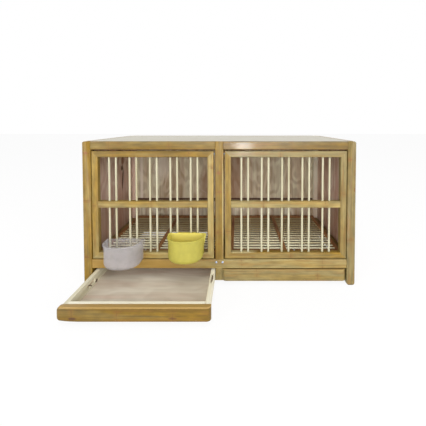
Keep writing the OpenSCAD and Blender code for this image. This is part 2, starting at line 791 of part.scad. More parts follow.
right_floor_bars();
right_floor_sticks();
water_cup();
feed_cup();
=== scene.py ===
"""A two-compartment pigeon breeding cage: the finishes of its pieces, its light and its camera."""
import math

import bmesh
import bpy
from mathutils import Matrix, Vector


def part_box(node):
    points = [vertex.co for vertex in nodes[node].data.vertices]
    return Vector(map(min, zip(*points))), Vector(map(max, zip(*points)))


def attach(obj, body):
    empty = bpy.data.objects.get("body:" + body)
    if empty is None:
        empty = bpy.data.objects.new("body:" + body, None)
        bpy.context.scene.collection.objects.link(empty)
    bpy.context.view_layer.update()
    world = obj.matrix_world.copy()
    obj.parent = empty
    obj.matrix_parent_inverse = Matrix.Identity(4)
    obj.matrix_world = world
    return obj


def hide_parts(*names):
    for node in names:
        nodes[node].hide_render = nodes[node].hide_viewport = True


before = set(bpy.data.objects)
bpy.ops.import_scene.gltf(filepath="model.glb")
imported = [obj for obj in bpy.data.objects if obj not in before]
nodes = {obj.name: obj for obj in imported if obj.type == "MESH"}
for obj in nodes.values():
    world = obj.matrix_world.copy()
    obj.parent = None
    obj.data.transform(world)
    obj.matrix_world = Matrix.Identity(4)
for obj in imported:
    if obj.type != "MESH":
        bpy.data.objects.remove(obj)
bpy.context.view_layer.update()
shown = dict(nodes)

# Camera, from a fit to the photograph's points
image_px = 426
focal_px = 288.2
principal_px = (237.5, 132.6)
camera_place = Vector((0.0534, -0.9494, 0.4777))
camera_pitch = math.radians(1.854)
sensor_mm = 36.0
nearest_seen = 0.01


def tint(red, green, blue):
    """A colour of the screen, 0 to 255, as the linear colour that a shader takes."""
    parts = [c / 255 for c in (red, green, blue)]
    linear = [c / 12.92 if c <= 0.04045 else ((c + 0.055) / 1.055) ** 2.4 for c in parts]
    return (*linear, 1.0)


# Studio: the ground, and the part of it under the cage, which gets no white of its own and is painted darker
# as shade
ground_size = 24.0
ground_color = (0.9, 0.9, 0.9, 1)
ground_roughness = 0.9
ground_white = 0.9
painted_under_shade = (0.36, 0.3, 0.24, 1)
under_x = 0.36
under_y = 0.13
under_mid = 0.1
under_fade = 0.05
white = (1, 1, 1, 1)
sky_on_pieces = 0.7
sky_seen = 1.0
# Round soft lamps: place, target, width in metres and power in watts
lamps = {
    "left": ((-3.0, -3.6, 1.7), (0, 0, 0.2), 2.2, 74),
    "right": ((3.0, -3.6, 1.7), (0, 0, 0.2), 2.2, 88),
    "front": ((0.4, -6.0, 1.3), (0, 0, 0.2), 3.0, 128),
    "glare": ((0.1, -1.5, 0.3), (0.1, 0, 0.4), 0.12, 1.5),
    "top": ((0.0, -1.3, 3.0), (0, -0.3, 0), 1.8, 22),
}

# Colours of the bamboo
bamboo_gold = tint(142, 109, 22)
bamboo_pale = tint(148, 131, 82)
bamboo_node = tint(84, 58, 30)
bamboo_flame = tint(126, 88, 34)

# Light and dark tone of each other wood
rod_tones = (tint(181, 177, 152), tint(162, 155, 122))
stick_tones = (tint(255, 252, 220), tint(244, 232, 188))
tray_tones = (tint(232, 228, 208), tint(212, 204, 178))
outer_wall_tones = (tint(212, 207, 184), tint(190, 183, 154))
base_tones = (tint(214, 206, 190), tint(192, 180, 162))
floor_bar_tones = (tint(170, 120, 72), tint(122, 78, 46))
ply_tones = (tint(236, 228, 200), tint(180, 158, 126))
side_tones = (tint(240, 222, 206), tint(204, 164, 148))
top_tones = (tint(174, 170, 148), tint(156, 148, 122))
back_post_color = tint(250, 244, 222)
back_tones = (back_post_color, ply_tones[1])
ply_red = tint(240, 214, 206)
# Painted shade on the faces of the floor sticks that look down, and how much of it
painted_stick_shade = tint(118, 82, 44)
stick_shade_share = 0.8

# Metal and plastic
steel_color = tint(176, 186, 204)
frosted_color = tint(204, 201, 204)
yellow_color = tint(208, 200, 98)
# Painted light inside the yellow cup
painted_cup_light = tint(248, 238, 136)

# Marks: stains, cracks and knots, and painted shade, highlights and light
stain = tint(112, 72, 26)
# Dark stains, and painted shade in the slot of the drawer's inner wall
dark_stain_and_slot_shade = tint(74, 44, 22)
red_stain = tint(128, 78, 44)
gold_strip = tint(146, 112, 46)
# A painted highlight along edges that catch the light
painted_highlight = tint(176, 162, 116)
# Painted shade in the gaps beside and above the doors and in the lap joint of the back boards
painted_gap_shade = tint(72, 34, 18)
# The dark of the cracks in the veneer, and painted shade at the ends of the drawer wall's slot
crack_and_slot_shade = tint(70, 40, 26)
knot_brown = tint(150, 98, 66)
# Painted shade on the floor sticks towards the back of the cage
painted_far_shade = tint(160, 138, 92)
natural = tint(196, 164, 112)
# Painted shade on the lower inner face of the drawer's outer wall
painted_wall_shade = tint(168, 144, 116)
low_wall = tint(150, 108, 80)
# Painted light on the top faces of the drawer front boards
painted_top_light = tint(158, 128, 72)
back_corner = tint(238, 206, 188)
veneer_glow = tint(246, 234, 218)

# Surface of the woods: depth and strength of the grain, shine, and the varnish over it
grain_depth = 0.0002
grain_strength = 0.35
wood_shine = 0.35
varnish_roughness = 0.14
bamboo_varnish = 0.06
top_varnish = 0.42
# Bamboo pieces whose varnish catches the small lamp
bright_varnish = {"top_front_right_rail": 0.5, "right_door_top_bar": 0.3, "front_center_post": 0.2}

# Scales of the even noise
ragged_scale = 260.0
scratch_scale = 300.0
smudge_scale = 60.0

# Plastic cups: what light their walls scatter and pass on, where the frosted one is clearest, and where the
# yellow one is brightened inside with painted light
plastic_depth = 0.0004
plastic_strength = 0.15
frosted_glow = 0.45
yellow_glow = 0.5
water_cup_back = (-0.275, -0.105, 0.1)
water_cup_back_size = (9.0, 0.014, 9.0)
water_cup_back_clear = 0.86
painted_cup_light_place = (-0.095, -0.118, 0.145)
painted_cup_light_size = (0.08, 0.05, 0.07)

# Edges of the drawer fronts: the radius, and the number of steps that round it. left_end is the left end of
# each drawer's board, and corner_form the two outer corners of the left board
left_end = {"left": (0.006, 6), "right": (0.0105, 6)}
right_end = (0.0105, 8)
corner_form = (0.0095, 7)
back_edge = (0.0015, 3)
upper_edge = (0.004, 5)
lower_edge = (0.0025, 4)

# Top outer corners of the front posts
corner_radius = 0.008
corner_cuts = 5

slack = 1e-5  # how near a face an edge lies on it
weld = 1e-6  # how near each other two corners are one
sharp_angle = math.radians(35)


# Node helpers
def feed(tree, node, inputs):
    """Gives each named input a value, or another node's socket."""
    for name, value in inputs.items():
        if isinstance(value, bpy.types.NodeSocket):
            tree.links.new(value, node.inputs[name])
        else:
            node.inputs[name].default_value = value


def put(tree, kind, inputs=None, **settings):
    """Adds a shader node. inputs gives a value or another node's socket for each input."""
    made = tree.nodes.new("ShaderNode" + kind)
    for name, value in settings.items():
        setattr(made, name, value)
    feed(tree, made, inputs or {})
    return made


def math_of(tree, operation, *values, clamp=False):
    return put(tree, "Math", dict(enumerate(values)), operation=operation, use_clamp=clamp).outputs[0]


def vector_of(tree, operation, *values):
    return put(tree, "VectorMath", dict(enumerate(values)), operation=operation).outputs[0]


def mix_color(tree, factor, first, second, blend="MIX"):
    """A mix of two colours. On a Mix node, sockets 6 and 7 and the output 2 are the ones for colours."""
    made = put(tree, "Mix", data_type="RGBA", blend_type=blend)
    feed(tree, made, {0: factor, 6: first, 7: second})
    return made.outputs[2]


def mix_shader(tree, factor, first, second):
    return put(tree, "MixShader", {0: factor, 1: first, 2: second}).outputs[0]


def ramp_of(tree, value, low, high, to_low=0.0, to_high=1.0, smooth=True):
    inputs = {0: value, 1: low, 2: high, 3: to_low, 4: to_high}
    return put(tree, "MapRange", inputs, interpolation_type="SMOOTHSTEP" if smooth else "LINEAR").outputs[0]


def shaded(tree, color, value):
    """A colour times a brightness."""
    grey = put(tree, "CombineColor", {i: value for i in range(3)}).outputs[0]
    return mix_color(tree, 1.0, color, grey, "MULTIPLY")


def shift_of(tree, seed):
    """A seed as a shift along all three axes."""
    return put(tree, "CombineXYZ", {i: seed for i in range(3)}).outputs[0]


def patches(tree, here, shift, stretch, detail):
    """Noise whose grain is as fine as stretch says along and across the wood."""
    moved = vector_of(tree, "ADD", vector_of(tree, "MULTIPLY", here, stretch), shift)
    return put(tree, "TexNoise", {"Vector": moved, "Scale": 1.0, "Detail": detail}).outputs[0]


def clouds(tree, here, scale):
    """Soft even noise."""
    return put(tree, "TexNoise", {"Vector": here, "Scale": scale, "Detail": 3.0}).outputs[0]


def spot_mask(tree, here, place, radius, turn=(0, 0, 0), edge=0.6, ragged=0.5):
    """1 in a spot and 0 around it. edge is the share of its radius that fades, and ragged how unevenly."""
    off = vector_of(tree, "SUBTRACT", here, place)
    turned = put(tree, "VectorRotate", {"Vector": off, "Rotation": turn}, rotation_type="EULER_XYZ")
    scaled = vector_of(tree, "DIVIDE", turned.outputs[0], radius)
    reach = put(tree, "VectorMath", {0: scaled}, operation="LENGTH").outputs["Value"]
    uneven = math_of(tree, "SUBTRACT", clouds(tree, here, ragged_scale), 0.5)
    push = math_of(tree, "MULTIPLY", uneven, ragged)
    distance = math_of(tree, "ADD", reach, push)
    return ramp_of(tree, distance, math_of(tree, "SUBTRACT", 1.0, edge), 1.0, 1.0, 0.0)


def own_place(tree):
    """The piece's own coordinates. At rest they are the cage's, in metres."""
    return put(tree, "TexCoord").outputs["Object"]


# Node groups
def new_group(name, inputs, outputs):
    """A shader node group with named sockets. inputs gives each socket's kind and first value."""
    group = bpy.data.node_groups.new(name, "ShaderNodeTree")
    for socket_name, (kind, value) in inputs.items():
        socket = group.interface.new_socket(socket_name, in_out="INPUT", socket_type="NodeSocket" + kind)
        if value is not None:
            socket.default_value = value
    for socket_name, kind in outputs.items():
        group.interface.new_socket(socket_name, in_out="OUTPUT", socket_type="NodeSocket" + kind)
    start = group.nodes.new("NodeGroupInput").outputs
    return group, start, group.nodes.new("NodeGroupOutput")


wood_outputs = {"Color": "Color", "Roughness": "Float", "Height": "Float"}
endless = 9.0  # a place or a half size past the ends of every piece


def fibre_group():
    """Fine streaks along X, and slow changes of tone."""
    group, start, end = new_group(
        "wood_fibre",
        {"Vector": ("Vector", None), "Seed": ("Float", 0.0),
         "Along": ("Float", 7.0), "Across": ("Float", 420.0)},
        {"Fine": "Float", "Broad": "Float"})
    stretch = put(group, "CombineXYZ", {0: start["Along"], 1: start["Across"], 2: start["Across"]}).outputs[0]
    shift = shift_of(group, start["Seed"])
    moved = vector_of(group, "ADD", vector_of(group, "MULTIPLY", start["Vector"], stretch), shift)
    fine = put(group, "TexNoise", {"Vector": moved, "Scale": 1.0, "Detail": 4.0, "Roughness": 0.62})
    slow = vector_of(group, "MULTIPLY", moved, (0.55, 0.09, 0.09))
    broad = put(group, "TexNoise", {"Vector": slow, "Scale": 1.0, "Detail": 3.0})
    feed(group, end, {"Fine": fine.outputs[0], "Broad": broad.outputs[0]})
    return group


def bamboo_group(fibre):
    """Laminated bamboo along X: streaks, brown flames, and up to three nodes of the cane at given places."""
    group, start, end = new_group(
        "laminated_bamboo",
        {"Vector": ("Vector", None), "Seed": ("Float", 0.0), "Tone": ("Float", 0.5), "Shade": ("Float", 1.0),
         "Gold": ("Color", bamboo_gold), "Pale": ("Color", bamboo_pale), "Node": ("Color", bamboo_node),
         "Flame": ("Color", bamboo_flame), "Node 1": ("Float", endless), "Node 2": ("Float", endless),
         "Node 3": ("Float", endless)},
        wood_outputs)
    flame_share = 0.45
    blot_share = 0.4
    line_share = 0.35
    here = start["Vector"]
    shift = shift_of(group, start["Seed"])
    grain = put(group, "Group", {"Vector": here, "Seed": start["Seed"]}, node_tree=fibre).outputs

    # Nodes of the cane: a thin line that fades in and out across the strip, and a soft blot round it
    along = put(group, "SeparateXYZ", {0: here}).outputs[0]
    bend = math_of(group, "MULTIPLY", math_of(group, "SUBTRACT", grain["Broad"], 0.5), 0.008)
    bent = math_of(group, "ADD", along, bend)
    offs = [math_of(group, "ABSOLUTE", math_of(group, "SUBTRACT", bent, start[f"Node {i}"]))
            for i in (1, 2, 3)]
    distance = math_of(group, "MINIMUM", math_of(group, "MINIMUM", offs[0], offs[1]), offs[2])
    presence = ramp_of(group, patches(group, here, shift, (14.0, 95.0, 95.0), 2.0), 0.36, 0.6, 0.15, 1.0)
    line = math_of(group, "MULTIPLY", ramp_of(group, distance, 0.0005, 0.002, 1.0, 0.0), presence)
    blot = math_of(group, "MULTIPLY", ramp_of(group, distance, 0.001, 0.013, 1.0, 0.0), presence)
    flame = ramp_of(group, patches(group, here, shift, (13.0, 110.0, 110.0), 4.0), 0.5, 0.7)

    broad = ramp_of(group, grain["Broad"], 0.3, 0.7, -0.42, 0.42)
    tone = math_of(group, "ADD", start["Tone"], broad, clamp=True)
    streak = ramp_of(group, grain["Fine"], 0.32, 0.7, 0.66, 1.2, smooth=False)
    cloud = patches(group, here, shift, (30.0, 80.0, 80.0), 2.0)
    mottle = ramp_of(group, cloud, 0.3, 0.7, 0.8, 1.18, smooth=False)
    shade = math_of(group, "MULTIPLY", math_of(group, "MULTIPLY", streak, mottle), start["Shade"])
    color = shaded(group, mix_color(group, tone, start["Gold"], start["Pale"]), shade)
    color = mix_color(group, math_of(group, "MULTIPLY", flame, flame_share), color, start["Flame"])
    color = mix_color(group, math_of(group, "MULTIPLY", blot, blot_share), color, start["Flame"])
    color = mix_color(group, math_of(group, "MULTIPLY", line, line_share), color, start["Node"])
    height = math_of(group, "SUBTRACT", math_of(group, "MULTIPLY", grain["Fine"], 0.5), line)
    feed(group, end, {"Color": color, "Roughness": ramp_of(group, grain["Fine"], 0.2, 0.8, 0.36, 0.5),
                      "Height": height})
    return group


def veneer_group(fibre):
    """Plywood veneer along X: wavy flames of figure, brown and grey streaks, and fine dark pores."""
    group, start, end = new_group(
        "plywood_veneer",
        {"Vector": ("Vector", None), "Seed": ("Float", 0.0), "Light": ("Color", ply_tones[0]),
         "Dark": ("Color", ply_tones[1]), "Red": ("Color", ply_red), "Figure": ("Float", 1.0),
         "Warmth": ("Float", 0.5)},
        wood_outputs)
    flame_share = 0.42
    streak_share = 0.34
    pore_share = 0.24
    flame_waves = 38.0
    here = start["Vector"]
    shift = shift_of(group, start["Seed"])
    grain = put(group, "Group", {"Vector": here, "Seed": start["Seed"], "Along": 5.0, "Across": 260.0},
                node_tree=fibre).outputs
    cloud = patches(group, here, shift, (6.0, 14.0, 14.0), 2.0)
    wave = math_of(group, "SINE", math_of(group, "MULTIPLY", cloud, flame_waves))
    flames = math_of(group, "MULTIPLY", ramp_of(group, wave, -1.0, 1.0), flame_share)
    streak = ramp_of(group, patches(group, here, shift, (2.5, 75.0, 75.0), 3.0), 0.36, 0.64)
    mixed = math_of(group, "ADD", flames, math_of(group, "MULTIPLY", streak, streak_share))
    pore = ramp_of(group, grain["Fine"], 0.36, 0.6)
    mixed = math_of(group, "ADD", mixed, math_of(group, "MULTIPLY", pore, pore_share))
    spread = math_of(group, "MULTIPLY", math_of(group, "SUBTRACT", mixed, 0.5), start["Figure"])
    tone = math_of(group, "ADD", spread, 0.5, clamp=True)
    color = mix_color(group, tone, start["Dark"], start["Light"])
    warm = ramp_of(group, patches(group, here, shift, (3.0, 26.0, 26.0), 2.0), 0.38, 0.62)
    warm = math_of(group, "MULTIPLY", warm, start["Warmth"])
    color = mix_color(group, warm, color, start["Red"], "MULTIPLY")
    feed(group, end, {"Color": color, "Roughness": ramp_of(group, grain["Fine"], 0.2, 0.8, 0.62, 0.48),
                      "Height": grain["Fine"]})
    return group


def plain_wood_group(fibre):
    """Plain wood along X in two tones."""
    group, start, end = new_group(
        "plain_wood",
        {"Vector": ("Vector", None), "Seed": ("Float", 0.0), "Light": ("Color", rod_tones[0]),
         "Dark": ("Color", rod_tones[1])},
        wood_outputs)
    grain = put(group, "Group", {"Vector": start["Vector"], "Seed": start["Seed"], "Along": 9.0,
                                 "Across": 700.0}, node_tree=fibre).outputs
    mixed = math_of(group, "ADD", math_of(group, "MULTIPLY", grain["Fine"], 0.6),
                    math_of(group, "MULTIPLY", grain["Broad"], 0.4))
    color = mix_color(group, ramp_of(group, mixed, 0.36, 0.58), start["Dark"], start["Light"])
    feed(group, end, {"Color": color, "Roughness": ramp_of(group, grain["Fine"], 0.2, 0.8, 0.58, 0.44),
                      "Height": grain["Fine"]})
    return group


def scuff_group():
    """Faint smudges and fine scratches of handled plastic and metal."""
    group, start, end = new_group("handling_marks", {"Vector": ("Vector", None), "Scale": ("Float", 40.0)},
                                  {"Smudge": "Float", "Scratch": "Float"})
    stretched = vector_of(group, "MULTIPLY", start["Vector"], (9.0, 9.0, 1.0))
    scratch = put(group, "TexNoise", {"Vector": stretched, "Scale": start["Scale"], "Detail": 5.0,
                                      "Roughness": 0.7})
    feed(group, end, {"Smudge": clouds(group, start["Vector"], start["Scale"]),
                      "Scratch": scratch.outputs[0]})
    return group


def spot_group():
    """A soft spot with a ragged edge, at a given place on the cage."""
    group, start, end = new_group(
        "soft_spot",
        {"Vector": ("Vector", None), "Place": ("Vector", None), "Radius": ("Vector", None),
         "Turn": ("Vector", None), "Edge": ("Float", 0.6), "Ragged": ("Float", 0.5)},
        {"Mask": "Float"})
    feed(group, end, {"Mask": spot_mask(group, start["Vector"], start["Place"], start["Radius"],
                                        start["Turn"], start["Edge"], start["Ragged"])})
    return group


fibre = fibre_group()
spot = spot_group()
bamboo = bamboo_group(fibre)
veneer = veneer_group(fibre)
plain_wood = plain_wood_group(fibre)
scuffs = scuff_group()


# Materials
def surface(tree, shader):
    """Makes a shader's socket the surface of the material."""
    output = next(n for n in tree.nodes if n.type == "OUTPUT_MATERIAL")
    tree.links.new(shader, output.inputs["Surface"])


def blank(name):
    """A new material with one plain shader."""
    material = bpy.data.materials.new(name)
    material.use_nodes = True
    tree = material.node_tree
    tree.nodes.clear()
    tree.nodes.new("ShaderNodeOutputMaterial")
    shader = tree.nodes.new("ShaderNodeBsdfPrincipled")
    surface(tree, shader.outputs[0])
    return material, tree, shader


def along_grain(tree, axis):
    """The piece's own coordinates, turned so that X runs along the grain."""
    place = own_place(tree)
    if axis == "X":
        return place
    parts = put(tree, "SeparateXYZ", {0: place}).outputs
    order = {"Y": (1, 0, 2), "Z": (2, 0, 1)}[axis]
    return put(tree, "CombineXYZ", {i: parts[order[i]] for i in range(3)}).outputs[0]


def marked(tree, color, marks):
    """The colour with a piece's own marks laid over it in turn."""
    here = own_place(tree)
    for place, radius, turn, mark_color, strength, *edge in marks:
        inputs = {"Vector": here, "Place": place, "Radius": radius, "Turn": [math.radians(t) for t in turn]}
        if edge:
            inputs.update({"Edge": edge[0], "Ragged": edge[0]})
        mask = put(tree, "Group", inputs, node_tree=spot).outputs[0]
        color = mix_color(tree, math_of(tree, "MULTIPLY", mask, strength), color, mark_color)
    return color


def wood(name, group, axis, seed, marks=(), coat=0.0, painted_underside=None, **values):
    """A wood finish from one of the wood groups, with its own grain direction, seed and marks, and, where
    given, painted shade on the faces that look down.
    """
    material, tree, shader = blank(name)
    look = put(tree, "Group", {"Vector": along_grain(tree, axis), "Seed": seed, **values}, node_tree=group)
    color = marked(tree, look.outputs["Color"], marks)
    if painted_underside is not None:
        # Painted shade: faces that look down are darker
        facing = put(tree, "SeparateXYZ", {0: put(tree, "NewGeometry").outputs["Normal"]}).outputs[2]
        color = mix_color(tree, ramp_of(tree, facing, 0.05, 0.5, stick_shade_share, 0.0), color, painted_underside)
    bump = put(tree, "Bump", {"Height": look.outputs["Height"], "Strength": grain_strength,
                              "Distance": grain_depth})
    feed(tree, shader, {"Base Color": color, "Roughness": look.outputs["Roughness"],
                        "Normal": bump.outputs[0], "Specular IOR Level": wood_shine,
                        "Coat Weight": coat, "Coat Roughness": varnish_roughness})
    return material


def steel(name):
    """Bright steel with fine scratches."""
    material, tree, shader = blank(name)
    marks = put(tree, "Group", {"Vector": own_place(tree), "Scale": scratch_scale}, node_tree=scuffs).outputs
    feed(tree, shader, {"Base Color": steel_color, "Metallic": 1.0,
                        "Roughness": ramp_of(tree, marks["Scratch"], 0.3, 0.7, 0.18, 0.36)})
    return material


def let_through(tree, shader, color, glow, clear=None):
    """Mixes in light that a thin wall passes on: scattered (glow), and straight on where it is clear."""
    scattered = put(tree, "BsdfTranslucent", {"Color": color}).outputs[0]
    mixed = mix_shader(tree, glow, shader.outputs[0], scattered)
    if clear is not None:
        mixed = mix_shader(tree, clear, mixed, put(tree, "BsdfTransparent").outputs[0])
    surface(tree, mixed)


def frosted_plastic(name):
    """Clear plastic gone dull, with its back wall clearest."""
    material, tree, shader = blank(name)
    here = own_place(tree)
    marks = put(tree, "Group", {"Vector": here, "Scale": smudge_scale}, node_tree=scuffs).outputs
    feed(tree, shader, {"Base Color": frosted_color,
                        "Roughness": ramp_of(tree, marks["Smudge"], 0.3, 0.7, 0.24, 0.36)})
    walls = ramp_of(tree, clouds(tree, here, smudge_scale), 0.3, 0.7, 0.56, 0.62)
    back = spot_mask(tree, here, water_cup_back, water_cup_back_size, edge=0.3)
    clear = math_of(tree, "MAXIMUM", walls, math_of(tree, "MULTIPLY", back, water_cup_back_clear))
    let_through(tree, shader, frosted_color, frosted_glow, clear)
    return material


def yellow_plastic(name):
    """Yellow plastic that light shines through, with painted light brightening it inside and about the rim.
    """
    material, tree, shader = blank(name)
    here = own_place(tree)
    marks = put(tree, "Group", {"Vector": here, "Scale": smudge_scale}, node_tree=scuffs).outputs
    shade = ramp_of(tree, clouds(tree, here, smudge_scale), 0.3, 0.7, 0.94, 1.03)
    # Painted light: a brighter colour inside the cup and about its rim
    rim = spot_mask(tree, here, painted_cup_light_place, painted_cup_light_size)
    color = mix_color(tree, rim, shaded(tree, yellow_color, shade), painted_cup_light)
    bump = put(tree, "Bump", {"Height": marks["Smudge"], "Strength": plastic_strength,
                              "Distance": plastic_depth})
    feed(tree, shader, {"Base Color": color, "Normal": bump.outputs[0],
                        "Roughness": ramp_of(tree, marks["Smudge"], 0.3, 0.7, 0.3, 0.42)})
    let_through(tree, shader, color, yellow_glow)
    return material


# Each bamboo piece: the direction of its grain, its tone from golden (0) to pale (1), its shade, and where
# along the grain the photograph shows the cane's nodes on it
bamboo_pieces = {
    "front_left_post": ("Z", 0.15, 0.81, (0.390, 0.2526, 0.0827)),
    "front_right_post": ("Z", 1.00, 0.68, (0.370, 0.134)),
    "front_center_post": ("Z", 0.15, 0.76, (0.332, 0.276, 0.157)),
    "back_center_post": ("Z", 0.5, 1.0, ()),
    "top_front_left_rail": ("X", 0.25, 0.65, (-0.1466, -0.322)),
    "top_front_right_rail": ("X", 0.15, 0.58, (0.212,)),
    "top_back_rail": ("X", 0.5, 1.0, ()),
    "top_left_rail": ("Y", 0.4, 1.0, ()),
    "top_right_rail": ("Y", 0.4, 1.0, ()),
    "lower_front_rail": ("X", 1.00, 0.96, (0.0658, 0.3034, -0.31)),
    "lower_back_rail": ("X", 0.5, 1.0, ()),
    "lower_left_rail": ("Y", 0.5, 1.0, ()),
    "lower_right_rail": ("Y", 0.5, 1.0, ()),
    "front_ledges": ("X", 0.5, 1.0, ()),
    "back_ledges": ("X", 0.5, 1.0, ()),
    "left_door_outer_stile": ("Z", 0.55, 0.95, (0.235,)),
    "left_door_inner_stile": ("Z", 1.00, 1.14, (0.352,)),
    "left_door_top_bar": ("X", 0.40, 0.72, (-0.31, -0.09)),
    "left_door_middle_bar": ("X", 0.50, 0.90, (-0.2,)),
    "left_door_bottom_bar": ("X", 0.90, 1.05, (-0.22,)),
    "right_door_outer_stile": ("Z", 0.85, 0.75, (0.27,)),
    "right_door_inner_stile": ("Z", 0.50, 0.87, (0.16,)),
    "right_door_top_bar": ("X", 1.00, 0.78, (0.18,)),
    "right_door_middle_bar": ("X", 1.00, 1.02, (0.13, 0.31)),
    "right_door_bottom_bar": ("X", 0.20, 0.77, (0.2115,)),
    "left_drawer_front": ("X", 0.00, 0.63, (-0.336, -0.0993, -0.230)),
    "right_drawer_front": ("X", 1.00, 0.78, (0.110, 0.289)),
    "center_runner": ("Y", 1.00, 1.02, ()),
}
# Where the cane's nodes go on a piece on which none was seen, as shares of its length
hidden_nodes = (0.19, 0.52, 0.86)

# Each piece of plain wood: the direction of its grain and its tones. The outer wall of the left drawer is
# darker than the other walls
drawer_parts = {"lip": "X", "outer_wall": "Y", "inner_wall": "Y", "back_wall": "X"}
pale_pieces = {
    "left_runner": ("Y", *rod_tones),
    "right_runner": ("Y", *rod_tones),
    "left_door_rods": ("Z", *rod_tones),
    "right_door_rods": ("Z", *rod_tones),
    "left_floor_sticks": ("X", *stick_tones),
    "right_floor_sticks": ("X", *stick_tones),
    **{f"{side}_drawer_{part}": (axis, *tray_tones)
       for side in ("left", "right") for part, axis in drawer_parts.items()},
}
pale_pieces["left_drawer_outer_wall"] = ("Y", *outer_wall_tones)

# Each upright piece of plywood and its tones
ply_pieces = {
    "left_panel": side_tones,
    "right_panel": side_tones,
    "back_upper_board": ply_tones,
    "back_lower_board": back_tones,
    "partition": ply_tones,
    "back_left_post": back_tones,
    "back_right_post": (back_post_color, back_post_color),
}

# The first seed of each family of pieces, and the step to the next piece
bamboo_seeds = (0.37, 1.71)
pale_seeds = (5.3, 2.3)
ply_seeds = (11.9, 3.1)
top_seed = 31.0
base_seed = 41.0
floor_bar_seed = 51.0

# The faces of a piece: which end of its box, and on which axis
left_face = (0, 0)
right_face = (1, 0)
front_face = (0, 1)
back_face = (1, 1)


def place_of(node, face):
    """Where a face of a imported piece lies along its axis, in metres."""
    end, axis = face
    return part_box(node)[end][axis]


cage_front = place_of("front_left_post", front_face)
open_front = place_of("left_drawer_front", front_face)
outside_left = place_of("left_panel", left_face)
inside_left = place_of("left_panel", right_face)
inside_right = place_of("right_panel", left_face)
outside_right = place_of("right_panel", right_face)
inside_back = place_of("back_upper_board", front_face)
outside_back = place_of("back_upper_board", back_face)

skin = 0.005  # a half size that reaches only just under one face
through = 1.0  # a half size that takes in the whole thickness
upright = (0, 0, 0)
outside_share = 0.62


def front_mark(x, z, half_x, half_z, color, strength, *edge, y=cage_front):
    """A mark on a piece's front, right through it."""
    return (x, y, z), (half_x, through, half_z), upright, color, strength, *edge


def side_mark(x, y, z, half_y, half_z, color, strength, *edge, turn=0):
    """A mark on one face of a side panel."""
    return (x, y, z), (skin, half_y, half_z), (turn, 0, 0), color, strength, *edge


def back_mark(x, z, half_x, half_z, color, strength, *edge, y=inside_back, turn=0):
    """A mark on one face of a back board."""
    return (x, y, z), (half_x, skin, half_z), (0, turn, 0), color, strength, *edge


outer_back = back_mark(0, 0.2, endless, endless, natural, outside_share, y=outside_back)
# Painted shade in the lap joint between the back boards
lap_joint_shade = back_mark(0, 0.1502, endless, 0.0075, painted_gap_shade, 0.95, 0.2)
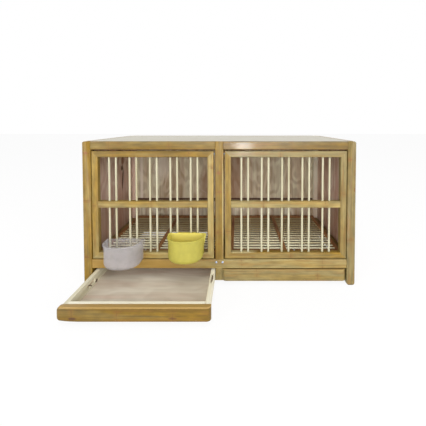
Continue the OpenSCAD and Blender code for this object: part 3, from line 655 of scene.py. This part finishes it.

# Marks on single pieces, some of them painted shade, highlights or light: place and half sizes in metres,
# turn in degrees, colour, strength, and, where the edge isn't the usual one, how soft and ragged it is
piece_marks = {
    "front_left_post": (
        front_mark(-0.389, 0.391, 0.008, 0.005, red_stain, 0.7),
        front_mark(-0.387, 0.249, 0.013, 0.006, stain, 0.45),
        front_mark(-0.391, 0.084, 0.007, 0.005, stain, 0.5)),
    "front_right_post": (
        front_mark(0.381, 0.371, 0.007, 0.006, red_stain, 0.5),
        front_mark(0.3965, 0.283, 0.004, 0.009, stain, 0.7),
        front_mark(0.387, 0.137, 0.009, 0.006, stain, 0.4)),
    "front_center_post": (
        front_mark(-0.002, 0.333, 0.008, 0.007, red_stain, 0.6),
        front_mark(0.002, 0.277, 0.008, 0.004, red_stain, 0.5),
        front_mark(-0.004, 0.158, 0.006, 0.008, stain, 0.5),
        front_mark(0.0, 0.123, 0.009, 0.004, stain, 0.4),
        # Painted shade in the gap beside the left door
        front_mark(-0.0127, 0.24, 0.0016, endless, painted_gap_shade, 0.75, 0.4),
        # A painted highlight along the post's right edge
        front_mark(0.0105, 0.24, 0.003, 0.19, painted_highlight, 0.6)),
    "top_front_left_rail": (
        # Painted shade in the gap above the door
        front_mark(-0.19, 0.4002, endless, 0.0019, painted_gap_shade, 0.85, 0.4),),
    "top_front_right_rail": (
        # Painted shade in the gap above the door
        front_mark(0.19, 0.4002, endless, 0.0017, painted_gap_shade, 0.8, 0.4),),
    "lower_front_rail": (
        front_mark(-0.4, 0.063, 0.4, endless, gold_strip, 0.75, 0.4),),
    "left_door_inner_stile": (
        front_mark(-0.021, 0.347, 0.006, 0.005, stain, 0.6),),
    "right_door_bottom_bar": (
        # A painted highlight along the bar's upper edge
        front_mark(0.061, 0.0975, 0.06, 0.0022, painted_highlight, 0.8, 0.5),
        front_mark(0.098, 0.0835, 0.009, 0.003, stain, 0.5)),
    "left_drawer_front": (
        front_mark(-0.335, 0.0185, 0.013, 0.005, dark_stain_and_slot_shade, 0.85, y=open_front),
        front_mark(-0.099, 0.0195, 0.013, 0.004, dark_stain_and_slot_shade, 0.6, y=open_front),
        front_mark(-0.229, 0.0355, 0.016, 0.003, stain, 0.5, y=open_front),
        front_mark(-0.19, 0.0402, 0.3, 0.0011, dark_stain_and_slot_shade, 0.4, y=open_front),
        # Painted light on the board's top face
        front_mark(-0.19, 0.0485, endless, 0.0068, painted_top_light, 0.9, 0.4, y=open_front)),
    "right_drawer_front": (
        # Painted light on the board's top face
        front_mark(0.19, 0.0485, endless, 0.0052, painted_top_light, 0.6, 0.3),),
    "left_drawer_outer_wall": (
        # Painted shade on the lower inner face of the wall
        ((-0.3615, 0, 0.018), (0.004, endless, 0.018), upright, painted_wall_shade, 0.8, 0.4),
        # Painted shade at the two ends of the slot
        ((-0.3615, -0.1584, 0.0261), (through, 0.004, 0.005), upright, crack_and_slot_shade, 1.0),
        ((-0.3615, -0.1304, 0.0235), (through, 0.009, 0.006), upright, crack_and_slot_shade, 1.0)),
    "left_drawer_inner_wall": (
        # Painted shade in the slot
        ((-0.0165, -0.1583, 0.0455), (0.0024, 0.0282, 0.004), upright, dark_stain_and_slot_shade, 1.0),),
    "left_panel": (
        side_mark(outside_left, 0.1, 0.2, endless, endless, natural, outside_share),
        side_mark(inside_left, 0.1, 0.06, endless, 0.16, low_wall, 0.5, 0.3),
        side_mark(inside_left, 0.164, 0.334, 0.018, 0.024, knot_brown, 0.8),
        side_mark(inside_left, 0.157, 0.305, 0.013, 0.014, crack_and_slot_shade, 0.95),
        side_mark(inside_left, 0.1635, 0.262, 0.009, 0.056, crack_and_slot_shade, 1.0, turn=8),
        side_mark(inside_left, 0.139, 0.333, 0.012, 0.02, veneer_glow, 0.8)),
    "right_panel": (
        side_mark(outside_right, 0.1, 0.2, endless, endless, natural, outside_share),
        side_mark(inside_right, 0.1, 0.06, endless, 0.16, low_wall, 0.5, 0.3),
        side_mark(inside_right, 0.047, 0.272, 0.006, 0.04, veneer_glow, 0.8)),
    "back_upper_board": (
        outer_back,
        back_mark(-0.0915, 0.1857, 0.021, 0.0012, veneer_glow, 0.8, turn=-32),
        back_mark(-0.3575, 0.27, 0.008, 0.3, veneer_glow, 0.9),
        back_mark(-0.27, 0.29, 0.05, 0.07, veneer_glow, 0.55),
        back_mark(0.045, 0.26, 0.05, 0.2, knot_brown, 0.6),
        back_mark(-0.08, 0.2, 0.04, 0.1, knot_brown, 0.5),
        lap_joint_shade),
    "back_lower_board": (outer_back, lap_joint_shade),
    # The floor sticks darker towards the back: painted shade
    "left_floor_sticks": (
        ((0, 0.3, 0.08), (endless, 0.32, through), upright, painted_far_shade, 0.8, 0.5),),
    "right_floor_sticks": (
        ((0, 0.3, 0.08), (endless, 0.34, through), upright, painted_far_shade, 0.85, 0.5),),
    "back_left_post": (
        ((-0.375, 0.2625, 0.2), (0.02, 0.02, endless), upright, back_corner, 0.9, 0.3),),
}


def cane_nodes(name, axis, places):
    """Where the nodes of a piece's cane are: as photographed, or at shares of its length if none was seen."""
    if not places:
        corners = [Vector(c)["XYZ".index(axis)] for c in nodes[name].bound_box]
        places = [min(corners) + share * (max(corners) - min(corners)) for share in hidden_nodes]
    return {f"Node {i + 1}": place for i, place in enumerate(places)}


# Remade pieces
def new_piece(work, name):
    """A finished shape as an object at the origin, smooth up to its sharp edges."""
    mesh = bpy.data.meshes.new(name)
    work.to_mesh(mesh)
    work.free()
    for polygon in mesh.polygons:
        polygon.use_smooth = True
    mesh.set_sharp_from_angle(angle=sharp_angle)
    piece = bpy.data.objects.new(name, mesh)
    bpy.context.scene.collection.objects.link(piece)
    return piece


def drawer_board(side):
    """A drawer's front board, with rounded ends and eased edges. The left one's outer corners are round."""
    node = side + "_drawer_front"
    low, high = (Vector(corner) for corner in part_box(node))
    middle = (low + high) / 2
    size = Matrix.Diagonal((*(high - low), 1))
    work = bmesh.new()
    bmesh.ops.create_cube(work, size=1.0, matrix=Matrix.Translation(middle) @ size)

    def ease(chosen, radius, segments):
        """Rounds the edges whose two ends are chosen."""
        edges = [e for e in work.edges if chosen(*(v.co for v in e.verts))]
        bmesh.ops.bevel(work, geom=edges, offset=radius, offset_type="OFFSET", segments=segments, profile=0.5,
                        affect="EDGES", clamp_overlap=True)

    def front_upright(a, b):
        return max(a.y, b.y) < low.y + slack and abs(a.z - b.z) > slack

    def back_upright(a, b):
        return min(a.y, b.y) > high.y - slack and abs(a.z - b.z) > slack

    if side == "left":
        ease(lambda a, b: max(a.x, b.x) < low.x + slack and abs(a.y - b.y) > slack, *corner_form)
    ease(lambda a, b: front_upright(a, b) and a.x < middle.x, *left_end[side])
    ease(lambda a, b: front_upright(a, b) and a.x > middle.x, *right_end)
    ease(back_upright, *back_edge)
    ease(lambda a, b: min(a.z, b.z) > high.z - slack, *upper_edge)
    ease(lambda a, b: max(a.z, b.z) < low.z + slack, *lower_edge)
    board = new_piece(work, side + "_drawer_board")
    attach(board, side + "_drawer")
    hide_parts(node)
    shown[node] = board


def round_post(name, side):
    """A front post with its top outer corner rounded, as seen from the front. side is -1 left and 1 right."""
    low, high = (Vector(corner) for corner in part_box(name))
    outer = low.x if side < 0 else high.x
    center = Vector((outer - side * corner_radius, 0, high.z - corner_radius))
    work = bmesh.new()
    work.from_mesh(nodes[name].data)
    bmesh.ops.remove_doubles(work, verts=work.verts, dist=weld)
    for i in range(corner_cuts):
        angle = math.pi / 2 * (i + 0.5) / corner_cuts
        out = Vector((side * math.cos(angle), 0, math.sin(angle)))
        cut = bmesh.ops.bisect_plane(work, geom=[*work.verts, *work.edges, *work.faces], dist=weld,
                                     plane_co=center + out * corner_radius, plane_no=out, clear_outer=True)
        rim = [e for e in cut["geom_cut"] if isinstance(e, bmesh.types.BMEdge)]
        bmesh.ops.edgenet_fill(work, edges=rim)
    bmesh.ops.recalc_face_normals(work, faces=work.faces)
    post = new_piece(work, name + "_rounded")
    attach(post, "cage")
    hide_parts(name)
    shown[name] = post


# Finishing
def dress(name, material):
    """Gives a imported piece, or the one that stands for it, its material."""
    piece = shown[name]
    piece.data.materials.clear()
    piece.data.materials.append(material)


def seeded(pieces, seeds):
    """Each piece's name, seed and values."""
    first, step = seeds
    for i, (name, values) in enumerate(pieces.items()):
        yield name, first + i * step, values


def finish_nodes():
    """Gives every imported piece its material."""
    for name, seed, (axis, tone, shade, places) in seeded(bamboo_pieces, bamboo_seeds):
        coat = bright_varnish.get(name, bamboo_varnish)
        dress(name, wood("bamboo_" + name, bamboo, axis, seed, piece_marks.get(name, ()), coat,
                         Tone=tone, Shade=shade, **cane_nodes(name, axis, places)))
    for name, seed, (axis, light, dark) in seeded(pale_pieces, pale_seeds):
        painted_underside = painted_stick_shade if name.endswith("_sticks") else None
        dress(name, wood("pale_" + name, plain_wood, axis, seed, piece_marks.get(name, ()),
                         painted_underside=painted_underside, Light=light, Dark=dark))
    for name, seed, (light, dark) in seeded(ply_pieces, ply_seeds):
        dress(name, wood("ply_" + name, veneer, "Z", seed, piece_marks.get(name, ()), Light=light, Dark=dark))
    light, dark = top_tones
    dress("top_panel", wood("ply_top", veneer, "X", top_seed, coat=top_varnish, Figure=0.6, Warmth=0.2,
                            Light=light, Dark=dark))
    for side in ("left", "right"):
        base = side + "_drawer_base"
        light, dark = base_tones
        dress(base, wood("ply_" + base, veneer, "X", base_seed, Figure=0.7, Light=light, Dark=dark))
        light, dark = floor_bar_tones
        dress(side + "_floor_bars",
              wood("brown_" + side, plain_wood, "Y", floor_bar_seed, Light=light, Dark=dark))
    metal = steel("bright_steel")
    for name in ("rail_screws", "door_stops", "hinge_pins"):
        dress(name, metal)
    dress("water_cup", frosted_plastic("frosted_plastic"))
    dress("feed_cup", yellow_plastic("yellow_plastic"))


# Studio
def seen_of(tree):
    """1 for a ray from the camera, off metal or through plastic, and 0 for a ray that lights the pieces."""
    path = put(tree, "LightPath").outputs
    seen = math_of(tree, "MAXIMUM", path["Is Camera Ray"], path["Is Glossy Ray"])
    return math_of(tree, "MAXIMUM", seen, path["Is Transmission Ray"])


def ground():
    """A pale floor that is seen white and keeps the cage's shadow, with painted shade on its part under the
    cage.
    """
    bpy.ops.mesh.primitive_plane_add(size=ground_size, location=(0, 0, 0))
    floor = bpy.context.object
    floor.name = "studio_floor"
    material, tree, shader = blank("studio_floor")
    place = put(tree, "SeparateXYZ", {0: own_place(tree)}).outputs
    off_x = math_of(tree, "SUBTRACT", math_of(tree, "ABSOLUTE", place[0]), under_x)
    from_mid = math_of(tree, "ABSOLUTE", math_of(tree, "SUBTRACT", place[1], under_mid))
    off_y = math_of(tree, "SUBTRACT", from_mid, under_y)
    outside = ramp_of(tree, math_of(tree, "MAXIMUM", off_x, off_y), 0.0, under_fade)
    # Under the cage the floor's colour is painted shade
    feed(tree, shader, {"Base Color": mix_color(tree, outside, painted_under_shade, ground_color),
                        "Roughness": ground_roughness})
    share = math_of(tree, "MULTIPLY", math_of(tree, "MULTIPLY", seen_of(tree), outside), ground_white)
    glow = put(tree, "Emission", {"Color": white, "Strength": 1.0}).outputs[0]
    surface(tree, mix_shader(tree, share, shader.outputs[0], glow))
    floor.data.materials.append(material)


def surroundings():
    """White all around, dimmer for the rays that light the pieces."""
    world = bpy.data.worlds.new("studio")
    bpy.context.scene.world = world
    world.use_nodes = True
    tree = world.node_tree
    tree.nodes.clear()
    strength = ramp_of(tree, seen_of(tree), 0.0, 1.0, sky_on_pieces, sky_seen, smooth=False)
    sky = put(tree, "Background", {"Color": white, "Strength": strength})
    output = tree.nodes.new("ShaderNodeOutputWorld")
    tree.links.new(sky.outputs[0], output.inputs["Surface"])


def lighting():
    """The lamps."""
    for name, (place, target, size, power) in lamps.items():
        light = bpy.data.lights.new(name, "AREA")
        light.shape = "DISK"
        light.size = size
        light.energy = power
        holder = bpy.data.objects.new(name, light)
        bpy.context.scene.collection.objects.link(holder)
        holder.location = place
        holder.rotation_euler = (Vector(target) - Vector(place)).to_track_quat("-Z", "Y").to_euler()


def camera():
    """The camera that took the photograph."""
    data = bpy.data.cameras.new("photo_camera")
    data.sensor_width = sensor_mm
    data.lens = focal_px / image_px * sensor_mm
    half = image_px / 2
    data.shift_x = (half - principal_px[0]) / image_px
    data.shift_y = (principal_px[1] - half) / image_px
    data.clip_start = nearest_seen
    holder = bpy.data.objects.new("photo_camera", data)
    holder.location = camera_place
    holder.rotation_euler = (math.pi / 2 - camera_pitch, 0, 0)
    bpy.context.scene.collection.objects.link(holder)
    bpy.context.scene.camera = holder


camera()
ground()
surroundings()
lighting()
drawer_board("left")
drawer_board("right")
round_post("front_left_post", -1)
round_post("front_right_post", 1)
finish_nodes()

bpy.context.scene.view_settings.view_transform = "Standard"
